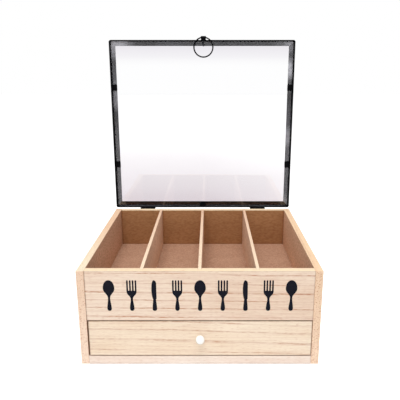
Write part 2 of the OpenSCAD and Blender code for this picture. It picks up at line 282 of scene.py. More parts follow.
@dataclass(frozen=True)
class PaintedLightFade:
    """Painted light: a slow fade of a board's colour along one of its sides, pale where more light falls and
    warm where less does.

    Attributes:
        axis: the axis that it follows.
        pale_at: where the board is palest, in mm.
        warm_at: where it is warmest, in mm.
        share: how far it outweighs the board's patches, from 0 to 1.
    """

    axis: Axis
    pale_at: float
    warm_at: float
    share: float = 0.75

    def join(self, graph: Graph, patches: Fed) -> NodeSocket:
        """Add the change to a board's patches.

        Args:
            graph: the material's nodes.
            patches: how warm each patch is, from 0 to 1.

        Returns:
            How warm each place is, from 0 to 1.
        """
        place = graph.split(graph.millimetres())[self.axis.name]
        start = graph.math("SUBTRACT", place, self.pale_at)
        travel = graph.math("DIVIDE", start, self.warm_at - self.pale_at)
        warmth = graph.ramp(travel, [(0.0, 0.0), (1.0, 1.0)])
        rest = graph.math("MULTIPLY", patches, 1.0 - self.share)
        return graph.math("MULTIPLY_ADD", warmth, self.share, rest)


@dataclass(frozen=True)
class Strands:
    """A pattern that is drawn out along a board's grain.

    Attributes:
        along: how often it changes along the grain, per mm.
        across: how often it changes across the grain, per mm.
        detail: octaves of finer detail.
    """

    along: float
    across: float
    detail: float

    def draw(self, graph: Graph, grain: Fed) -> NodeSocket:
        """Return the pattern, from 0 to 1, for a place along and across the grain."""
        return graph.noise(graph.stretch(grain, (self.along, self.across, self.across)), 1.0, self.detail)


STREAKS = Strands(along=0.02, across=0.5, detail=3.0)
FIBRES = Strands(along=0.1, across=3.0, detail=2.0)
BREAKS = Strands(along=0.13, across=0.9, detail=2.0)
PATCHES = Strands(along=0.006, across=0.03, detail=2.0)
PORE_RATE = 0.16  # how often pores change along the grain, per mm
SEED_STEP = 400.0  # how far along the grain a seed of 1 shifts a board, in mm


@dataclass(frozen=True)
class Finish(ABC):
    """What a piece wears. Its material is built once, however many pieces wear it.

    Attributes:
        name: the material's name.
    """

    name: str

    @cache
    def make(self) -> Material:
        """Return the finish's material."""
        graph = Graph(self.name)
        return graph.complete(self.shade(graph))

    @abstractmethod
    def shade(self, graph: Graph) -> Node:
        """Lay out the finish's shader.

        Args:
            graph: the material's nodes.

        Returns:
            The last shader.
        """


@dataclass(frozen=True)
class Paulownia(Finish):
    """Pale open-pored wood, cut from a log whose heart lies outside the board.

    Attributes:
        grain: the axis that the fibres run along.
        heart: where the log's heart lies on the two axes across the grain, in mm.
        pale: colour of the early wood.
        warm: colour of its warmer patches.
        line: colour of the lines between the growth rings.
        ring: width of a growth ring, in mm.
        line_depth: how strongly the lines show, from 0 to 1.
        slope: how far the grain climbs along the board, as a share of its length.
        seed: shifts the pattern, so that no two boards are alike.
        pores: how strongly the open pores show, from 0 to 1.
        pore_rate: how many pores there may be across each mm.
        painted_shade: painted shade along its edges, where its joints and gaps would be in shade.
        light_fade: its painted fade of light and shade, if it has one.
    """

    grain: Axis
    heart: Point
    pale: Colour
    warm: Colour
    line: Colour = RING_BROWN
    ring: float = 10.5
    line_depth: float = 0.8
    slope: float = 0.01
    seed: float = 0.0
    pores: float = 0.3
    pore_rate: float = 2.6
    painted_shade: tuple[PaintedLightBand, ...] = ()
    light_fade: PaintedLightFade | None = None

    def shade(self, graph: Graph) -> Node:
        """Lay out the wood's shader.

        Args:
            graph: the material's nodes.

        Returns:
            The last shader.
        """
        place = graph.split(graph.millimetres())
        along, across, depth = (place[letter] for letter in self.grain.value)
        along = graph.math("ADD", along, self.seed * SEED_STEP)
        grain = graph.vector(along, across, depth)

        streaks = STREAKS.draw(graph, grain)
        fibres = FIBRES.draw(graph, grain)
        pores = Strands(PORE_RATE, self.pore_rate, 0.0).draw(graph, grain)
        pores = graph.ramp(pores, [(0.27, 1), (0.36, 0)])
        patches = graph.ramp(PATCHES.draw(graph, grain), [(0.35, 0), (0.65, 1)])
        # Painted light: a fade of colour that stands in for light and shade.
        if self.light_fade:
            patches = self.light_fade.join(graph, patches)
        lines = self.ring_lines(graph, along, self.ring_count(graph, grain))
        breaks = graph.ramp(BREAKS.draw(graph, grain), [(0.38, 0.3), (0.58, 1)])
        lines = graph.math("MULTIPLY", lines, breaks)

        colour = graph.blend(patches, self.pale, self.warm)
        for share in (
            graph.ramp(streaks, [(0.32, 0.24 * self.line_depth), (0.58, 0)]),
            graph.ramp(fibres, [(0.3, 0.12), (0.6, 0)]),
            graph.math("MULTIPLY", lines, self.line_depth),
            graph.math("MULTIPLY", pores, self.pores),
        ):
            colour = graph.blend(share, colour, self.line)
        # Painted shade along the board's joints and gaps.
        for shade_band in self.painted_shade:
            colour = shade_band.draw(graph, colour, PAINTED_SHADE_BROWN)

        height = graph.math("SUBTRACT", graph.math("MULTIPLY", fibres, 0.5), pores)
        height = graph.math("SUBTRACT", height, graph.math("MULTIPLY", lines, 0.3))
        return graph.add("BsdfPrincipled", {
            "Base Color": colour, "Roughness": graph.ramp(streaks, [(0.2, 0.72), (0.8, 0.6)]),
            "Specular IOR Level": 0.3, "Normal": graph.relief(height, 0.35, 0.08 * MM),
        })

    def ring_count(self, graph: Graph, grain: Fed) -> NodeSocket:
        """Count the growth rings between the heart and a place in the board.

        Args:
            graph: the material's nodes.
            grain: the place along and across the grain, in mm.

        Returns:
            The number of rings, with its fraction.
        """
        along, across, depth = graph.split(grain)
        bend = graph.noise(graph.stretch(grain, (1.0, 1.5, 1.0)), 0.009, 1.0)
        ripple = graph.noise(grain, 0.05, 1.0)
        sway = graph.math("MULTIPLY_ADD", bend, 4.0, graph.math("MULTIPLY", ripple, 1.2))
        sway = graph.math("MULTIPLY_ADD", along, self.slope, sway)
        rise = graph.math("ADD", graph.math("SUBTRACT", across, self.heart[0]), sway)
        reach = graph.math("SUBTRACT", depth, self.heart[1])
        squares = graph.math("MULTIPLY_ADD", rise, rise, graph.math("MULTIPLY", reach, reach))
        turns = graph.math("DIVIDE", graph.math("SQRT", squares), self.ring)
        uneven = graph.noise(graph.vector(turns, self.seed, 0.0), 0.7, 0.0)
        return graph.math("ADD", turns, uneven)

    def ring_lines(self, graph: Graph, along: Fed, turns: Fed) -> NodeSocket:
        """Draw the line at the end of each growth ring, which fades here and there.

        Args:
            graph: the material's nodes.
            along: the place along the grain, in mm.
            turns: the ring count.

        Returns:
            How strong the line is, from 0 to 1.
        """
        line = graph.ramp(
            graph.math("FRACT", turns),
            [(0.0, 0.6), (0.03, 0.0), (0.78, 0.03), (0.88, 0.3), (0.92, 1.0), (1.0, 0.8)])
        where = graph.stretch(graph.vector(along, turns, self.seed), (0.016, 1.3, 1.0))
        fade = graph.ramp(graph.noise(where, 1.0, 2.0), [(0.34, 0.15), (0.58, 1.0)])
        return graph.math("MULTIPLY", line, fade)


@dataclass(frozen=True)
class Fibreboard(Finish):
    """Raw pressed fibre, finely speckled.

    Attributes:
        ground: main colour.
        fleck: colour of the darker fibres.
        lie: how short the fibres are on each axis, where 1 is a round fleck.
        strength: how strongly the flecks show, from 0 to 1.
        painted_shade: painted shade along its edges, where its joints and gaps would be in shade.
    """

    ground: Colour
    fleck: Colour
    lie: Triple = (1.0, 1.0, 1.0)
    strength: float = 0.6
    painted_shade: tuple[PaintedLightBand, ...] = ()

    def shade(self, graph: Graph) -> Node:
        """Lay out the board's shader.

        Args:
            graph: the material's nodes.

        Returns:
            The last shader.
        """
        place = graph.stretch(graph.millimetres(), self.lie)
        cloud = graph.noise(place, 0.05, 3.0)
        speck = graph.noise(place, 0.55, 4.0)
        fluff = graph.noise(place, 4.0, 2.0)
        colour = graph.blend(graph.ramp(cloud, [(0.3, 0.22), (0.7, 0)]), self.ground, self.fleck)
        colour = graph.blend(graph.ramp(speck, [(0.3, self.strength), (0.6, 0)]), colour, self.fleck)
        # Painted shade along the board's joints and corners.
        for shade_band in self.painted_shade:
            colour = shade_band.draw(graph, colour, PAINTED_SHADE_BROWN)
        height = graph.math("MULTIPLY_ADD", fluff, 0.6, speck)
        return graph.add("BsdfPrincipled", {
            "Base Color": colour, "Roughness": graph.ramp(fluff, [(0.3, 0.78), (0.7, 0.9)]),
            "Specular IOR Level": 0.2, "Normal": graph.relief(height, 0.3, 0.08 * MM),
        })


@dataclass(frozen=True)
class BlackPaint(Finish):
    """Satin black paint, baked on folded sheet metal or wire.

    Attributes:
        colour: the paint's colour.
        dust_and_sheen: colour of the faint dust on it. On the frame's flange this colour is raised to a
            painted sheen as well.
        gloss: its roughness where it is smoothest and where it is dullest.
        shine: how strongly it mirrors, where 0.5 is plain paint.
        sheen_bands: bands of painted sheen, pale grey, where the paint would mirror light.
    """

    colour: Colour
    dust_and_sheen: Colour
    gloss: tuple[float, float] = (0.34, 0.5)
    shine: float = 0.12
    sheen_bands: tuple[PaintedLightBand, ...] = ()

    def shade(self, graph: Graph) -> Node:
        """Lay out the paint's shader.

        Args:
            graph: the material's nodes.

        Returns:
            The last shader.
        """
        place = graph.millimetres()
        peel = graph.noise(place, 1.6, 1.0)
        bloom = graph.noise(place, 0.07, 4.0)
        smear = graph.noise(place, 0.018, 1.0)
        colour = graph.blend(graph.ramp(smear, [(0.38, 0), (0.66, 1)]), self.colour, self.dust_and_sheen)
        # Painted sheen: pale bands where the paint would mirror light.
        for band in self.sheen_bands:
            colour = band.draw(graph, colour, PAINTED_SHEEN_GREY)
        smoothest, dullest = self.gloss
        return graph.add("BsdfPrincipled", {
            "Base Color": colour, "Roughness": graph.ramp(bloom, [(0.3, smoothest), (0.7, dullest)]),
            "Specular IOR Level": self.shine, "Normal": graph.relief(peel, 0.06, 0.02 * MM),
        })


@dataclass(frozen=True)
class Steel(Finish):
    """Plain drawn steel, slightly dulled.

    Attributes:
        bright: colour where it is clean.
        dull: colour where it is tarnished.
    """

    bright: Colour
    dull: Colour

    def shade(self, graph: Graph) -> Node:
        """Lay out the metal's shader.

        Args:
            graph: the material's nodes.

        Returns:
            The last shader.
        """
        place = graph.millimetres()
        stain = graph.noise(place, 0.9, 3.0)
        scratch = graph.noise(place, 6.0, 2.0)
        colour = graph.blend(graph.ramp(stain, [(0.35, 0), (0.7, 1)]), self.bright, self.dull)
        return graph.add("BsdfPrincipled", {
            "Base Color": colour, "Roughness": graph.ramp(scratch, [(0.3, 0.3), (0.7, 0.48)]),
            "Metallic": 1.0,
        })


@dataclass(frozen=True)
class Glaze(Finish):
    """White glaze of the turned knob.

    Attributes:
        white: main colour.
        shadow: colour of the thinner glaze.
    """

    white: Colour
    shadow: Colour

    def shade(self, graph: Graph) -> Node:
        """Lay out the glaze's shader.

        Args:
            graph: the material's nodes.

        Returns:
            The last shader.
        """
        pool = graph.noise(graph.millimetres(), 0.25, 2.0)
        colour = graph.blend(graph.ramp(pool, [(0.35, 0), (0.75, 0.6)]), self.white, self.shadow)
        return graph.add("BsdfPrincipled", {
            "Base Color": colour, "Roughness": graph.ramp(pool, [(0.3, 0.14), (0.7, 0.24)]),
            "Coat Weight": 0.5, "Coat Roughness": 0.06, "Normal": graph.relief(pool, 0.1, 0.05 * MM),
        })


@dataclass(frozen=True)
class Ink(Finish):
    """Matt ink, pressed into the wood, which shows its fibres.

    Attributes:
        black: colour of the full ink.
        worn: colour where the wood's fibres show through.
        lie: how short the wood's fibres are on each axis.
    """

    black: Colour
    worn: Colour
    lie: Triple = (0.12, 1.0, 2.6)

    def shade(self, graph: Graph) -> Node:
        """Lay out the ink's shader.

        Args:
            graph: the material's nodes.

        Returns:
            The last shader.
        """
        fibres = graph.noise(graph.stretch(graph.millimetres(), self.lie), 1.0, 3.0)
        colour = graph.blend(graph.ramp(fibres, [(0.55, 0), (0.78, 0.5)]), self.black, self.worn)
        return graph.add("BsdfPrincipled", {
            "Base Color": colour, "Roughness": graph.ramp(fibres, [(0.3, 0.5), (0.7, 0.66)]),
            "Specular IOR Level": 0.06, "Normal": graph.relief(fibres, 0.2, 0.04 * MM),
        })


@dataclass(frozen=True)
class ClearGlass(Finish):
    """Thin float glass, which lets the lamps through.

    Attributes:
        tint: the glass's colour.
        ior: its index of refraction.
    """

    tint: Colour
    ior: float = 1.5

    def shade(self, graph: Graph) -> Node:
        """Lay out the glass's shader.

        Args:
            graph: the material's nodes.

        Returns:
            The last shader.
        """
        haze = graph.noise(graph.millimetres(), 0.02, 3.0)
        glass = graph.add("BsdfPrincipled", {
            "Base Color": self.tint, "Roughness": graph.ramp(haze, [(0.5, 0.0), (0.9, 0.03)]),
            "IOR": self.ior, "Transmission Weight": 1.0, "Specular IOR Level": 0.3,
        })
        clear = graph.add("BsdfTransparent", {"Color": self.tint})
        path = graph.add("LightPath").outputs
        lit = graph.math("MAXIMUM", path["Is Shadow Ray"], path["Is Diffuse Ray"])
        return graph.add("MixShader", {0: lit, 1: glass.outputs[0], 2: clear.outputs[0]})


# The fascia's and the drawer front's edge bands are painted shade, where the gaps and joints beside them
# would be in shade.
FASCIA_WOOD = Paulownia(
    "fascia_wood", Axis.X, heart=(327.3, -170.0), pale=tone(238, 220, 201), warm=tone(231, 209, 188),
    ring=10.8, line_depth=0.9, slope=0.011, seed=0.85,
    painted_shade=(
        *painted_edge_bands("front_fascia", 1.4, left=0.75),
        *painted_edge_bands("front_fascia", 1.0, right=0.4, top=0.35),
    ))
DRAWER_WOOD = Paulownia(
    "drawer_wood", Axis.X, heart=(-263.8, -190.0), pale=tone(244, 229, 208), warm=tone(238, 218, 193),
    ring=11.2, line_depth=0.75, slope=0.027, seed=0.46,
    painted_shade=(
        *painted_edge_bands("drawer_front", 1.1, left=0.8),
        *painted_edge_bands("drawer_front", 0.9, right=0.4, top=0.5, bottom=0.5),
    ))
# The band along the base's bottom edge is a painted contact shadow.
BASE_WOOD = Paulownia(
    "base_wood", Axis.X, heart=(5.0, 240.0), pale=tone(243, 231, 219), warm=tone(237, 219, 205),
    ring=9.0, line_depth=0.4, slope=0.004, seed=0.12, painted_shade=painted_edge_bands("base_board", 1.6, bottom=0.5))
BACK_WOOD = Paulownia(
    "back_wood", Axis.X, heart=(60.0, 30.0), pale=tone(243, 219, 195), warm=tone(234, 206, 180),
    ring=9.0, line_depth=0.9, seed=0.53)
SIDE_WOOD = Paulownia(
    "side_wood", Axis.Y, heart=(-150.0, 190.0), pale=tone(241, 218, 194), warm=tone(232, 206, 180),
    ring=10.4, slope=0.016, seed=0.48)
# The left end's fade is painted light: paler towards the bottom.
LEFT_END = Paulownia(
    "left_end", Axis.Y, heart=(60.0, -900.0), pale=tone(252, 230, 210), warm=tone(230, 200, 174),
    ring=3.2, line_depth=0.4, slope=0.02, seed=0.21, pores=0.6, pore_rate=0.9,
    light_fade=PaintedLightFade(Axis.Z, pale_at=5.0, warm_at=95.0))
RIGHT_END = replace(
    LEFT_END, name="right_end", heart=(58.0, 900.0), pale=tone(247, 220, 194), warm=tone(232, 202, 172),
    line_depth=0.5, seed=0.64, pores=0.9)
END_RIM = Paulownia(
    "end_rim", Axis.X, heart=(400.0, -90.0), pale=tone(249, 227, 193), warm=tone(245, 219, 184),
    ring=14.0, line_depth=0.3, seed=0.4)
RIGHT_RIM = replace(
    END_RIM, name="right_rim", grain=Axis.Y, pale=tone(246, 216, 178), warm=tone(242, 207, 171))
# The left rim's fade is painted light: paler towards the front.
LEFT_RIM = replace(
    RIGHT_RIM, name="left_rim", pale=tone(243, 232, 204), warm=tone(238, 198, 164), seed=0.9,
    light_fade=PaintedLightFade(Axis.Y, pale_at=-130.0, warm_at=30.0, share=0.85))
# The dividers' rim fade is painted light: paler towards the front.
DIVIDER_RIM = replace(
    RIGHT_RIM, name="divider_rim", pale=tone(249, 228, 199), warm=tone(230, 190, 160), line_depth=0.1,
    seed=0.3, light_fade=PaintedLightFade(Axis.Y, pale_at=-120.0, warm_at=110.0, share=0.8))

FRONT_TO_BACK = (1.0, 0.3, 1.0)
SIDE_TO_SIDE = (0.4, 0.9, 0.9)
# The left inner face is a darker copy of the right one: painted shade on the left wall.
SHADED_LEFT_INNER = Fibreboard("left_inner", tone(220, 178, 148), fleck=tone(152, 108, 80), lie=FRONT_TO_BACK)
RIGHT_INNER = Fibreboard("right_inner", tone(234, 194, 162), fleck=tone(170, 126, 96), lie=FRONT_TO_BACK)
DIVIDER_BOARD = Fibreboard("divider_board", tone(234, 200, 172), fleck=tone(184, 140, 112), lie=FRONT_TO_BACK)
FLOOR_BOARD = Fibreboard("floor_board", tone(194, 155, 129), fleck=tone(146, 102, 78))
DRAWER_BOARD = Fibreboard("drawer_board", tone(214, 178, 150), fleck=tone(172, 132, 104))
# Its bands are painted shade in the inside corners, where it meets the sides and the tray floor.
REAR_FACE = Fibreboard(
    "rear_face", tone(172, 126, 86), fleck=tone(122, 80, 50), lie=SIDE_TO_SIDE, strength=0.45,
    painted_shade=(
        PaintedLightBand(Axis.X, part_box("left_side")[1].x / MM, reach=3.2, depth=0.5),
        PaintedLightBand(Axis.X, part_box("right_side")[0].x / MM, reach=3.0, depth=0.35),
        PaintedLightBand(Axis.Z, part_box("tray_floor")[1].z / MM, reach=2.5, depth=0.3),
    ))

# The flange's greyer coat is partly dust and partly painted sheen, standing in for light mirrored by the
# glass in front of it.
FRAME_PAINT_WITH_SHEEN = BlackPaint("frame_paint", tone(10, 10, 14), dust_and_sheen=tone(58, 58, 64))
CLIP_PAINT = BlackPaint("clip_paint", tone(5, 5, 7), dust_and_sheen=tone(12, 12, 15), gloss=(0.45, 0.6), shine=0.04)
# Bands of painted sheen on each rail's flange, standing in for light mirrored by it and the glass.
PAINTED_SHEEN_RAILS = {
    "lid_left_rail": (PaintedLightBand(Axis.Z, 385.0, 36.0, 1.0), PaintedLightBand(Axis.Z, 297.0, 26.0, 0.45)),
    "lid_right_rail": (
        PaintedLightBand(Axis.Z, 385.0, 28.0, 0.6), PaintedLightBand(Axis.Z, 338.0, 18.0, 0.85),
        PaintedLightBand(Axis.Z, 234.0, 20.0, 0.42), PaintedLightBand(Axis.Z, 128.0, 16.0, 0.3),
    ),
    "lid_front_rail": (
        *painted_edge_bands("lid_front_rail", 39.0, left=1.0, right=0.3),
        *painted_edge_bands("lid_front_rail", 20.0, right=0.7),
    ),
}

CLEAR_GLASS = ClearGlass("clear_glass", tint=(0.99, 0.99, 0.995, 1.0))
STEEL = Steel("steel", bright=tone(196, 196, 198), dull=tone(140, 138, 134))
KNOB_GLAZE = Glaze("knob_glaze", tone(250, 249, 246), shadow=tone(238, 236, 230))
PRINT_INK = Ink("print_ink", tone(18, 19, 29), worn=tone(50, 44, 46))


def put(name: str, data: bpy.types.ID) -> Object:
    """Put a mesh, a lamp or a camera into the scene.

    Args:
        name: its name.
        data: its mesh, lamp or camera data.

    Returns:
        Its object.
    """
    thing = bpy.data.objects.new(name, data)
    bpy.context.scene.collection.objects.link(thing)
    return thing


def put_mesh(name: str, mesh: BMesh) -> Object:
    """Put a finished mesh into the scene.

    Args:
        name: its name.
        mesh: the mesh, which is used up.

    Returns:
        Its object.
    """
    data = bpy.data.meshes.new(name)
    mesh.to_mesh(data)
    mesh.free()
    return put(name, data)


def stand_in(name: str, mesh: BMesh, finish: Finish, body: str, slot: str, *nodes: str) -> Object:
    """Turn a finished mesh into a piece of the object.

    Args:
        name: the piece's name.
        mesh: its mesh, which is used up.
        finish: what it wears.
        body: the body that it rides on.
        slot: the record's material slot that its finish comes from. It is not used.
        *nodes: the nodes that it replaces.

    Returns:
        The piece.
    """
    bmesh.ops.recalc_face_normals(mesh, faces=mesh.faces)
    piece = put_mesh(name, mesh)
    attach(piece, body)
    if nodes:
        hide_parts(*nodes)
    piece.data.materials.append(finish.make())
    log.info("%s rides on the %s in %s", name, body, finish.name)
    return piece


def dress(name: str, finish: Finish) -> Object:
    """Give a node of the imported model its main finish.

    Args:
        name: the node's name.
        finish: what it wears.

    Returns:
        The node's object.
    """
    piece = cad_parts[name]
    piece.data.materials.clear()
    piece.data.materials.append(finish.make())
    log.info("%s wears %s", name, finish.name)
    return piece


def face_with(piece: Object, way: Vector, finish: Finish, depth: float = math.inf) -> None:
    """Give the faces of a node that look one way a finish of their own.

    Args:
        piece: the node's object.
        way: the way that those faces look.
        finish: what they wear.
        depth: how far behind the outermost of them the faces may lie.
    """
    material = finish.make()
    worn = piece.data.materials
    if material.name not in worn:
        worn.append(material)
    index = worn.find(material.name)
    faces = [face for face in piece.data.polygons if face.normal.dot(way) > FACING]
    reach = max(face.center.dot(way) for face in faces)
    for face in faces:
        if face.center.dot(way) > reach - depth:
            face.material_index = index


def weigh_edges(mesh: bpy.types.Mesh) -> None:
    """Give a mesh's sharp edges a bevel weight, apart from the short ones round its holes.

    Args:
        mesh: the mesh, which may be split along its sharp edges.
    """
    spots = [tuple(round(place / WELD_REACH) for place in vertex.co) for vertex in mesh.vertices]
    looks: dict[frozenset, list[Vector]] = {}
    for face in mesh.polygons:
        for first, second in face.edge_keys:
            looks.setdefault(frozenset((spots[first], spots[second])), []).append(face.normal)
    weights = mesh.attributes.new("bevel_weight_edge", "FLOAT", "EDGE")
    for edge in mesh.edges:
        first, second = edge.vertices
        sides = looks[frozenset((spots[first], spots[second]))]
        length = (mesh.vertices[first].co - mesh.vertices[second].co).length
        sharp = length > HOLE_EDGE and sides[0].angle(sides[-1], 0.0) > SHARP_TURN
        weights.data[edge.index].value = float(sharp)


def ease_edges(piece: Object, width: float, clamp: bool = False) -> None:
    """Round a node's long sharp edges off, as sanding or painting does.

    Args:
        piece: the node's object.
        width: width of the rounding.
        clamp: whether to narrow the rounding where its sides would meet.
    """
    piece.data.shade_flat()
    weigh_edges(piece.data)
    weld = piece.modifiers.new("weld", "WELD")
    weld.merge_threshold = WELD_REACH
    bevel = piece.modifiers.new("ease", "BEVEL")
    bevel.width = width
    bevel.segments = 2
    bevel.limit_method = "WEIGHT"
    bevel.use_clamp_overlap = clamp


def spread(first: float, last: float, count: int) -> list[float]:
    """Return evenly spaced numbers from the first to the last."""
    return [first + (last - first) * step / (count - 1) for step in range(count)]


def skin(mesh: BMesh, rings: list[list[BMVert]]) -> None:
    """Join rings of vertices into a closed solid.

    Args:
        mesh: the mesh that they are in.
        rings: the rings, of which the last may be a single point.
    """
    for lower, upper in zip(rings, rings[1:]):
        for step in range(len(lower)):
            after = (step + 1) % len(lower)
            ends = (upper[after], upper[step]) if len(upper) > 1 else upper
            mesh.faces.new((lower[step], lower[after], *ends))
    mesh.faces.new(reversed(rings[0]))
    if len(rings[-1]) > 1:
        mesh.faces.new(rings[-1])


def turned(profile: Sequence[Point], steps: int) -> BMesh:
    """Turn a profile about the Z axis into a closed solid.

    Args:
        profile: points of radius and height. The last may be on the axis.
        steps: facets round the axis.

    Returns:
        The mesh.
    """
    mesh = bmesh.new()
    rings = []
    for radius, height in profile:
        if radius < ON_AXIS:
            rings.append([mesh.verts.new((0, 0, height))])
            continue
        rings.append([
            mesh.verts.new((radius * math.cos(angle), radius * math.sin(angle), height))
            for angle in spread(0, math.tau, steps + 1)[:-1]
        ])
    skin(mesh, rings)
    return mesh


def curved(start: Point, *legs: Leg) -> list[Point]:
    """Join smooth curves end to end.

    Args:
        start: where the first curve starts.
        *legs: the two handles and the end of each curve.

    Returns:
        Points along the curves, the start first.
    """
    path = [start]
    for leg in legs:
        knots = [Vector((x, y, 0)) for x, y in (path[-1], *leg)]
        path += [(spot.x, spot.y) for spot in interpolate_bezier(*knots, CURVE_POINTS)[1:]]
    return path


def arc(centre: Point, radius: float, first: float, last: float) -> list[Point]:
    """Return points along an arc between two angles, in degrees."""
    angles = spread(math.radians(first), math.radians(last), ARC_POINTS)
    return [(centre[0] + radius * math.cos(angle), centre[1] + radius * math.sin(angle)) for angle in angles]


def mirrored(half: list[Point]) -> list[Point]:
    """Close half an outline, whose ends lie on the axis, by its mirror image."""
    return half + [(-x, y) for x, y in reversed(half[1:-1])]


@dataclass
class Boards:
    """The case: four outer boards and a base of faced board, with a floor and three dividers inside."""

    eased: float = 0.5 * MM
    thin_eased: float = 0.25 * MM

    def build(self) -> None:
        """Dress every node of the case."""
        self.dress_sides()
        self.dress_ends()
        self.dress_inside()
        dress("case_nails", STEEL)

    def dress_sides(self) -> None:
        """Dress the two side boards, whose grain runs front to back."""
        for name, inwards, inner, rim, end in (
            ("left_side", RIGHTWARDS, SHADED_LEFT_INNER, LEFT_RIM, LEFT_END),
            ("right_side", LEFTWARDS, RIGHT_INNER, RIGHT_RIM, RIGHT_END),
        ):
            board = dress(name, SIDE_WOOD)
            face_with(board, inwards, inner)
            face_with(board, UP, rim)
            face_with(board, FORWARDS, end)
            face_with(board, BACKWARDS, end)
            ease_edges(board, self.eased)

    def dress_ends(self) -> None:
        """Dress the fascia, the back panel and the base, whose grain runs across."""
        for name, inwards, wood in (
            ("front_fascia", BACKWARDS, FASCIA_WOOD),
            ("back_panel", FORWARDS, BACK_WOOD),
        ):
            board = dress(name, wood)
            face_with(board, inwards, REAR_FACE)
            face_with(board, UP, END_RIM)
            ease_edges(board, self.eased)
        ease_edges(dress("base_board", BASE_WOOD), self.eased)

    def dress_inside(self) -> None:
        """Dress the tray floor and the dividers."""
        ease_edges(dress("tray_floor", FLOOR_BOARD), self.thin_eased)
        for name in ("left_divider", "centre_divider", "right_divider"):
            divider = dress(name, DIVIDER_BOARD)
            face_with(divider, UP, DIVIDER_RIM)
            ease_edges(divider, self.thin_eased)


class Utensil(Enum):
    """What a silhouette in the print shows."""

    SPOON = "spoon"
    FORK = "fork"
    KNIFE = "knife"


HANDLE: tuple[Leg, ...] = (
    ((1.2, 11.5), (2.4, 8.0), (2.6, 3.4)),
    ((2.6, 1.3), (1.6, 0.0), (0.0, 0.0)),
)


@dataclass
class UtensilRow:
    """The print on the fascia: a row of upright spoons, forks and knives. Its sizes are in mm."""

    order: tuple[Utensil, ...] = (
        *(Utensil.SPOON, Utensil.FORK, Utensil.KNIFE, Utensil.FORK) * 2,
        Utensil.SPOON,
    )
    pitch: float = 26.0
    middle: float = 0.5  # to the right of the fascia's middle
    foot: float = 69.0  # above the ground
    tall: float = 38.0
    prong: float = 1.9
    slot: float = 1.3
    slot_foot: float = 25.6  # above the fork's own foot
    film: float = 0.06  # how far the ink stands out of the wood
    sunk: float = 0.03  # how far it goes into the wood

    def build(self) -> None:
        """Press the row onto the fascia."""
        shapes = {Utensil.SPOON: self.spoon(), Utensil.FORK: self.fork(), Utensil.KNIFE: self.knife()}
        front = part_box("front_fascia")[0].y
        mesh = bmesh.new()
        for place, utensil in enumerate(self.order):
            left = self.middle + (place - (len(self.order) - 1) / 2) * self.pitch
            self.press(mesh, [(left + x, self.foot + y) for x, y in shapes[utensil]], front)
        mesh.normal_update()
        bmesh.ops.triangulate(mesh, faces=[face for face in mesh.faces if len(face.verts) > 4])
        stand_in("fascia_print", mesh, PRINT_INK, "case", "dark_ink")

    def press(self, mesh: BMesh, outline: list[Point], front: float) -> None:
        """Add one closed film of ink to the mesh.

        Args:
            mesh: the mesh to add to.
            outline: its outline on the fascia, in mm.
            front: where the fascia's front lies, in metres.
        """
        outer, inner = (
            [mesh.verts.new((x * MM, front + depth * MM, z * MM)) for x, z in outline]
            for depth in (-self.film, self.sunk)
        )
        mesh.faces.new(outer)
        mesh.faces.new(reversed(inner))
        for step in range(len(outline)):
            mesh.faces.new((outer[step - 1], outer[step], inner[step], inner[step - 1]))

    def spoon(self) -> list[Point]:
        """Return a spoon's outline, with its foot at the origin."""
        bowl = (((3.8, self.tall), (6.6, 33.8), (6.6, 27.8)), ((6.6, 22.8), (1.5, 21.0), (1.3, 16.5)))
        return mirrored(curved((0.0, self.tall), *bowl, *HANDLE))

    def fork(self) -> list[Point]:
        """Draw a fork.

        Returns:
            Its outline, with its foot at the origin.
        """
        tip_r = self.prong / 2
        slot_r = self.slot / 2
        tip = self.tall - tip_r
        step = self.prong + self.slot
        half = [
            *arc((0.0, self.slot_foot), slot_r, 270, 360),
            *arc((step / 2, tip), tip_r, 180, 0),
            *arc((step, self.slot_foot), slot_r, 180, 360),
            *arc((step * 1.5, tip), tip_r, 180, 0),
        ]
        edge = half[-1][0]
        return mirrored(half + curved((edge, 24.5), ((edge, 19.2), (1.6, 19.4), (1.3, 15.0)), *HANDLE))

    def knife(self) -> list[Point]:
        """Draw a knife.

        Returns:
            Its outline, with its foot at the origin.
        """
        back = curved((-1.2, self.tall), ((0.4, self.tall), (2.3, 36.8), (2.3, 33.5)))
        grip = curved(
            (1.6, 14.6), ((2.0, 10.0), (2.6, 6.0), (2.6, 2.4)), ((2.6, 1.0), (1.6, 0.0), (0.0, 0.0)))
        edge = curved(
            (-2.0, 15.2), ((-2.9, 18.0), (-3.4, 22.0), (-3.4, 26.0)),
            ((-3.4, 31.0), (-3.0, 36.0), (-1.2, self.tall)))
        return [*back, (2.3, 15.0), *grip, *[(-x, y) for x, y in reversed(grip[:-1])], *edge[:-1]]


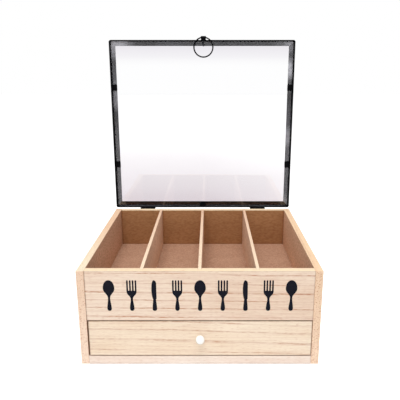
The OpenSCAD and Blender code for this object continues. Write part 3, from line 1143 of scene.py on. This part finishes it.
@dataclass
class Drawer:
    """The drawer: a wooden front on a fibreboard box, with a turned knob."""

    eased: float = 0.2 * MM
    thin_eased: float = 0.25 * MM
    knob_steps: int = 48
    ball_steps: int = 24
    neck_inset: float = 0.4 * MM  # from the edge of the ball, where the drawer front cuts it
    neck_length: float = 0.5 * MM

    def build(self) -> None:
        """Dress the drawer's nodes and turn its knob."""
        ease_edges(dress("drawer_front", DRAWER_WOOD), self.eased)
        for name in ("drawer_left_side", "drawer_right_side", "drawer_back", "drawer_bottom"):
            ease_edges(dress(name, DRAWER_BOARD), self.thin_eased)
        dress("drawer_nails", STEEL)
        dress("knob_screw", STEEL)
        self.turn_knob()

    def knob_profile(self) -> list[Point]:
        """Work out the knob's outline from the node that it replaces.

        Returns:
            Points of radius and distance from the drawer front, from the neck to the tip.
        """
        low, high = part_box("drawer_knob")
        ball_r = (high.x - low.x) / 2
        centre = high.y - low.y - ball_r
        neck_r = math.sqrt(ball_r ** 2 - centre ** 2) - self.neck_inset
        start = -math.asin((centre - self.neck_length) / ball_r)
        ball = [
            (ball_r * math.cos(angle), centre + ball_r * math.sin(angle))
            for angle in spread(start, math.pi / 2, self.ball_steps)
        ]
        return [(neck_r, 0.0), (neck_r, self.neck_length), *ball]

    def turn_knob(self) -> None:
        """Turn the knob as one smooth piece about its screw."""
        low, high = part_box("drawer_knob")
        middle = (low + high) / 2
        place = Matrix.Translation((middle.x, high.y, middle.z)) @ Matrix.Rotation(math.pi / 2, 4, "X")
        mesh = turned(self.knob_profile(), self.knob_steps)
        bmesh.ops.transform(mesh, matrix=place, verts=mesh.verts)
        knob = stand_in("turned_knob", mesh, KNOB_GLAZE, "drawer", "white_knob", "drawer_knob")
        knob.data.shade_smooth()


@dataclass
class Lid:
    """The lid: a mitred frame of black metal, a pane of glass, its clips and the hinges."""

    coat_reach: float = 9.0 * MM  # how far behind a rail's outermost face its greyer coat, of dust and painted sheen, lies
    lip_reach: float = 0.3 * MM  # how far behind that face its lip, which stays black, lies
    rail_eased: float = 0.3 * MM
    clip_eased: float = 0.15 * MM

    def build(self) -> None:
        """Dress every node of the lid and its hinges."""
        for name, sheen_bands in PAINTED_SHEEN_RAILS.items():
            self.dress_rail(name, FORWARDS, sheen_bands)
        # The rear rail's upward faces get the greyer coat as a painted highlight, where light from above
        # falls on them.
        self.dress_rail("lid_rear_rail", UP)
        dress("lid_glass", CLEAR_GLASS)
        for name in ("left_front_clip", "left_rear_clip", "right_front_clip", "right_rear_clip", "rear_clip"):
            ease_edges(dress(name, CLIP_PAINT), self.clip_eased)
        # The front clip wears the flange's coat, painted sheen included.
        ease_edges(dress("front_clip", FRAME_PAINT_WITH_SHEEN), self.clip_eased)
        for name in ("left_lid_leaf", "right_lid_leaf", "left_case_leaf", "right_case_leaf"):
            dress(name, CLIP_PAINT)
        for name in ("left_hinge_pin", "right_hinge_pin", "hinge_screws"):
            dress(name, STEEL)

    def dress_rail(self, name: str, way: Vector, sheen_bands: tuple[PaintedLightBand, ...] = ()) -> None:
        """Dress a rail in black, with a greyer coat of dust and painted sheen on the faces that look one way.

        Args:
            name: the rail's name.
            way: the way that the greyer faces look.
            sheen_bands: bands of painted sheen on that coat.
        """
        rail = dress(name, CLIP_PAINT)
        face_with(rail, way, replace(FRAME_PAINT_WITH_SHEEN, name=f"{name}_paint", sheen_bands=sheen_bands), self.coat_reach)
        face_with(rail, way, CLIP_PAINT, self.lip_reach)
        ease_edges(rail, self.rail_eased, clamp=True)


@dataclass
class RingPull:
    """The ring pull: a ring of bent wire in a strip bracket."""

    steps: int = 120  # along the wire
    sides: int = 20  # round it
    joint_turn: float = math.radians(62)  # where its ends meet, as an angle up from the right
    joint_gap: float = 0.15 * MM

    def build(self) -> None:
        """Dress the bracket and bend the ring."""
        dress("ring_bracket", CLIP_PAINT)
        self.bend_ring()

    def bend_ring(self) -> None:
        """Bend the wire into a ring whose ends meet in a butt joint."""
        low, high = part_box("pull_ring")
        wire_r = (high.y - low.y) / 2
        ring_r = (high.x - low.x) / 2 - wire_r
        middle = (low + high) / 2
        half_gap = self.joint_gap / ring_r / 2
        turns = spread(self.joint_turn + half_gap, self.joint_turn + math.tau - half_gap, self.steps)
        mesh = bmesh.new()
        skin(mesh, [self.wire_ring(mesh, middle, ring_r, wire_r, turn) for turn in turns])
        stand_in("wire_ring", mesh, CLIP_PAINT, "ring", "black_metal", "pull_ring").data.shade_smooth()

    def wire_ring(
        self, mesh: BMesh, middle: Vector, ring_r: float, wire_r: float, turn: float
    ) -> list[BMVert]:
        """Add the wire's section at one place on the ring.

        Args:
            mesh: the mesh to add to.
            middle: the ring's centre.
            ring_r: radius of the ring's centre line.
            wire_r: radius of the wire.
            turn: the place on the ring, as an angle.

        Returns:
            The section's vertices.
        """
        outwards = Vector((math.cos(turn), 0, math.sin(turn)))
        section = []
        for angle in spread(0, math.tau, self.sides + 1)[:-1]:
            spot = middle + outwards * (ring_r + wire_r * math.cos(angle))
            section.append(mesh.verts.new(spot + BACKWARDS * (wire_r * math.sin(angle))))
        return section


class LampUse(Enum):
    """What a lamp does: light the object, show in what mirrors it, or both."""

    LIGHT = "light"
    SHEEN = "sheen"
    BOTH = "both"


@dataclass(frozen=True)
class Lamp:
    """A rectangular soft lamp.

    Attributes:
        name: its name.
        place: where its middle hangs.
        size: its width and its height.
        power: its power in watts.
        aim: the point that it faces.
        use: what it does.
    """

    name: str
    place: Triple
    size: tuple[float, float]
    power: float
    aim: Triple
    use: LampUse = LampUse.LIGHT

    def hang(self) -> None:
        """Hang the lamp in the scene, out of the camera's sight."""
        data = bpy.data.lights.new(self.name, "AREA")
        data.shape = "RECTANGLE"
        data.size, data.size_y = self.size
        data.energy = self.power
        lamp = put(self.name, data)
        lamp.location = self.place
        lamp.rotation_euler = (Vector(self.aim) - Vector(self.place)).to_track_quat("-Z", "Y").to_euler()
        lamp.visible_camera = False
        lamp.visible_transmission = False
        lamp.visible_glossy = self.use is not LampUse.LIGHT
        lamp.visible_diffuse = self.use is not LampUse.SHEEN


OVERHEAD = Lamp("overhead", (-0.12, -0.7, 2.1), (1.2, 1.2), 30.0, (0.0, 0.0, 0.1), LampUse.BOTH)
LEFT_PANEL = Lamp("left_panel", (-0.87, -1.9, 0.75), (0.86, 1.5), 7.0, (-0.87, 0.0, 0.75))
RIGHT_PANEL = Lamp("right_panel", (0.79, -1.9, 0.75), (0.82, 1.5), 4.8, (0.79, 0.0, 0.75))
LEFT_SHEEN = replace(LEFT_PANEL, name="left_sheen", power=2.8, use=LampUse.SHEEN)
RIGHT_SHEEN = replace(RIGHT_PANEL, name="right_sheen", power=2.0, use=LampUse.SHEEN)

FLOOR_WHITE = (0.8, 0.8, 0.8, 1.0)
# Painted shadow on the floor, seen only through glass.
FLOOR_SHADOW_GREY = (0.78, 0.7, 0.745, 1.0)
FLOOR_FADE = ((0.05, 0.1), (0.15, 0.24), (0.283, 0.35), (0.458, 0.48), (0.683, 0.66), (0.95, 1.0))
SKY_WHITE = (1.0, 1.0, 1.0, 1.0)
# Painted shade in the sky, seen only through glass.
SKY_SHADE_GREY = (0.8, 0.77, 0.82, 1.0)
SKY_FADE = ((0.003, 0.0), (0.012, 0.15), (0.02, 0.45), (0.035, 0.75))


@dataclass
class Studio:
    """A plain white floor and sky with soft lamps, and the camera."""

    lamps: tuple[Lamp, ...] = (OVERHEAD, LEFT_PANEL, RIGHT_PANEL, LEFT_SHEEN, RIGHT_SHEEN)
    floor_reach: float = 6.0
    floor_glow: float = 0.62
    grey_from: float = 0.6  # how far back the floor's painted shadow, seen through glass, is still at its full grey
    grey_reach: float = 1.2  # how much farther back that painted shadow is gone
    grey_slant: float = 0.9  # how much nearer it goes on the right, for each metre
    sky_light: float = 0.52  # the light that the sky gives, where 1 is the sky as it looks
    eye: Triple = (11.59 * MM, -659.25 * MM, 339.74 * MM)
    pitch: float = math.radians(-14.705)
    lens: float = 45.419
    sensor: float = 36.0
    shift: float = -0.0245

    def build(self) -> None:
        """Set up the floor, the sky, the lamps and the camera."""
        self.lay_floor()
        self.light_sky()
        for lamp in self.lamps:
            lamp.hang()
        self.place_camera()
        bpy.context.scene.view_settings.view_transform = "Standard"

    def lay_floor(self) -> None:
        """Lay a floor that shows only the object's shadow."""
        mesh = bmesh.new()
        bmesh.ops.create_grid(mesh, x_segments=1, y_segments=1, size=self.floor_reach)
        floor = put_mesh("studio_floor", mesh)
        floor.data.materials.append(self.paint_floor())

    def paint_floor(self) -> Material:
        """Build a white finish with a painted shadow that shows only through glass, darkest close behind the
        object.

        Returns:
            The material.
        """
        graph = Graph("studio_floor")
        place = graph.split(graph.add("TexCoord").outputs["Object"])
        right = graph.math("MAXIMUM", place["X"], 0.0)
        back = graph.math("MULTIPLY_ADD", right, self.grey_slant, place["Y"])
        share = graph.math("DIVIDE", graph.math("SUBTRACT", back, self.grey_from), self.grey_reach)
        near = graph.math("SUBTRACT", 1.0, graph.ramp(share, FLOOR_FADE))
        through = graph.add("LightPath").outputs["Is Transmission Ray"]
        grey = graph.math("MULTIPLY", through, near)
        glow = graph.math("MULTIPLY", graph.math("SUBTRACT", graph.seen_directly(), grey), self.floor_glow)
        matt = graph.add("BsdfDiffuse", {"Color": graph.blend(grey, FLOOR_WHITE, FLOOR_SHADOW_GREY)})
        light = graph.add("Emission", {"Strength": glow})
        return graph.complete(graph.add("AddShader", {0: matt.outputs[0], 1: light.outputs[0]}))

    def light_sky(self) -> None:
        """Light the scene evenly from a white sky, with painted shade in it that shows only through glass."""
        graph = Graph("studio_sky", sky=True)
        rise = graph.split(graph.add("TexCoord").outputs["Generated"])["Z"]
        through = graph.add("LightPath").outputs["Is Transmission Ray"]
        haze = graph.math("MULTIPLY", through, graph.ramp(rise, SKY_FADE))
        glow = graph.math("MULTIPLY_ADD", graph.seen_directly(), 1.0 - self.sky_light, self.sky_light)
        colour = graph.blend(haze, SKY_WHITE, SKY_SHADE_GREY)
        sky = graph.add("Background", {"Color": colour, "Strength": glow})
        bpy.context.scene.world = graph.complete(sky)

    def place_camera(self) -> None:
        """Set the camera in front of the object, a little above it."""
        data = bpy.data.cameras.new("camera")
        data.lens = self.lens
        data.sensor_width = self.sensor
        data.shift_x = self.shift
        camera = put("camera", data)
        camera.location = self.eye
        camera.rotation_euler = (math.pi / 2 + self.pitch, 0.0, 0.0)
        bpy.context.scene.camera = camera


def main() -> None:
    """Build and dress everything."""
    logging.basicConfig(level=logging.INFO, format="%(name)s: %(message)s")
    for assembly in (Studio(), Boards(), UtensilRow(), Drawer(), Lid(), RingPull()):
        assembly.build()
        log.info("%s is done", type(assembly).__name__)


if __name__ == "__main__":
    main()
